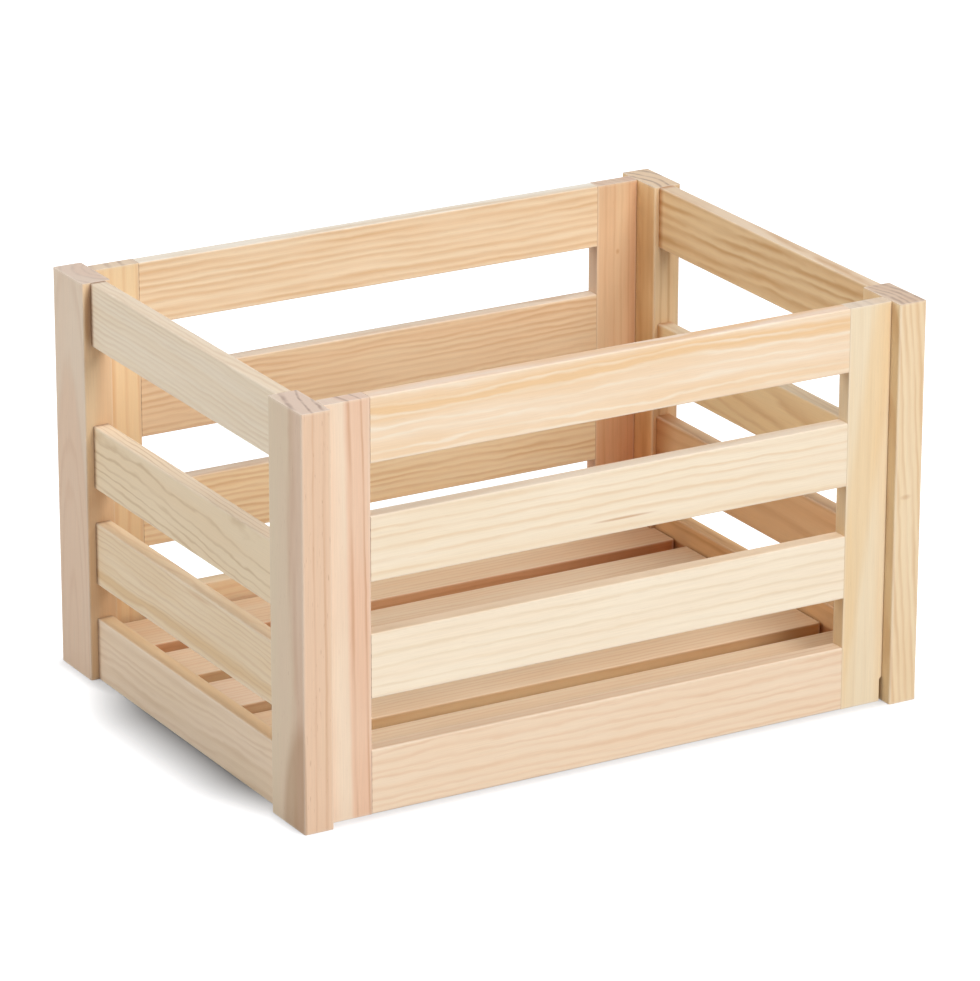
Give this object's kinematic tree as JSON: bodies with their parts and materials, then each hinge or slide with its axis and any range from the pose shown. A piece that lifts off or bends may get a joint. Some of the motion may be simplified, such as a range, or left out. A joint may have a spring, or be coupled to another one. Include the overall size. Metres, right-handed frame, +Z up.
{
  "type": "wooden crate",
  "caption": "Open-topped rectangular storage crate of bare pine slats on corner posts, with a slatted floor and a wide hand hold under the top slat at each end.",
  "frame": {"origin": "middle of the footprint, on the surface that the crate stands on", "axes": "+X along the long side to the right, +Y from the front to the rear, +Z up"},
  "size_m": [0.4, 0.3, 0.242],
  "materials": {
    "post": "planed and sanded pine, no coating",
    "end_slat": "planed and sanded pine, no coating",
    "stile": "planed and sanded pine, no coating",
    "frame_slat": "planed and sanded pine, no coating",
    "floor_board": "planed and sanded pine, no coating",
    "batten": "planed pine, no coating",
    "dowel": "turned hardwood, no coating"
  },
  "bodies": {
    "root": {"post_front_left": "post", "post_front_right": "post", "post_rear_left": "post", "post_rear_right": "post", "left_end_slat_bottom": "end_slat", "left_end_slat_lower": "end_slat", "left_end_slat_upper": "end_slat", "left_end_slat_top": "end_slat", "right_end_slat_bottom": "end_slat", "right_end_slat_lower": "end_slat", "right_end_slat_upper": "end_slat", "right_end_slat_top": "end_slat", "front_stile_left": "stile", "front_stile_right": "stile", "rear_stile_left": "stile", "rear_stile_right": "stile", "front_slat_bottom": "frame_slat", "front_slat_lower": "frame_slat", "front_slat_upper": "frame_slat", "front_slat_top": "frame_slat", "rear_slat_bottom": "frame_slat", "rear_slat_lower": "frame_slat", "rear_slat_upper": "frame_slat", "rear_slat_top": "frame_slat", "floor_board_1": "floor_board", "floor_board_2": "floor_board", "floor_board_3": "floor_board", "floor_board_4": "floor_board", "floor_board_5": "floor_board", "floor_batten_left": "batten", "floor_batten_right": "batten", "corner_dowel_front_left_1": "dowel", "corner_dowel_front_left_2": "dowel", "corner_dowel_front_left_3": "dowel", "corner_dowel_front_right_1": "dowel", "corner_dowel_front_right_2": "dowel", "corner_dowel_front_right_3": "dowel", "corner_dowel_rear_left_1": "dowel", "corner_dowel_rear_left_2": "dowel", "corner_dowel_rear_left_3": "dowel", "corner_dowel_rear_right_1": "dowel", "corner_dowel_rear_right_2": "dowel", "corner_dowel_rear_right_3": "dowel"}
  },
  "joints": []
}
